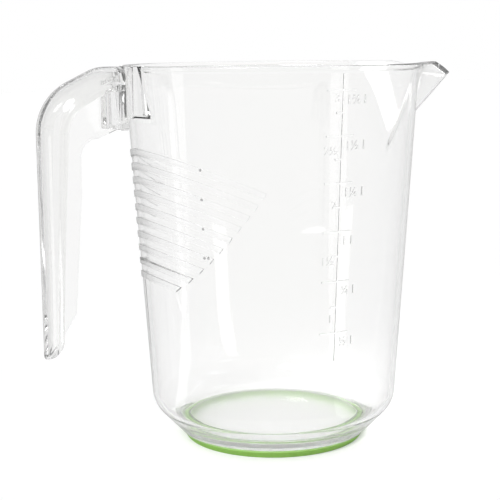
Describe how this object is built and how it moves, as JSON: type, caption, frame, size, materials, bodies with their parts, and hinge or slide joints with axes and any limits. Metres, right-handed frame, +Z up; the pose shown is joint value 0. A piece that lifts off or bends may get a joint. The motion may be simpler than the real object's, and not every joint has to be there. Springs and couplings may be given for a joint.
{
  "type": "measuring jug",
  "caption": "Clear plastic measuring jug with a pointed pouring spout, an open bonded side handle, a raised litre and pint scale, slanting grip ribs and a soft anti-slip ring under its foot.",
  "frame": {"origin": "on the jug's axis, in the plane of the table that the anti-slip ring stands on", "axes": "+Z up along the jug's axis; +X towards the tip of the spout, so the handle is on -X; +Y away from the side that carries the measuring scale"},
  "size_m": [0.2126, 0.1372, 0.1756],
  "materials": {
    "clear_body": "clear, polished, faintly cool tint",
    "clear_handle": "clear, polished, faintly cool tint",
    "green_ring": "soft satin green"
  },
  "bodies": {
    "root": {"jug_body": "clear_body", "handle": "clear_handle", "anti_slip_ring": "green_ring"}
  },
  "joints": []
}
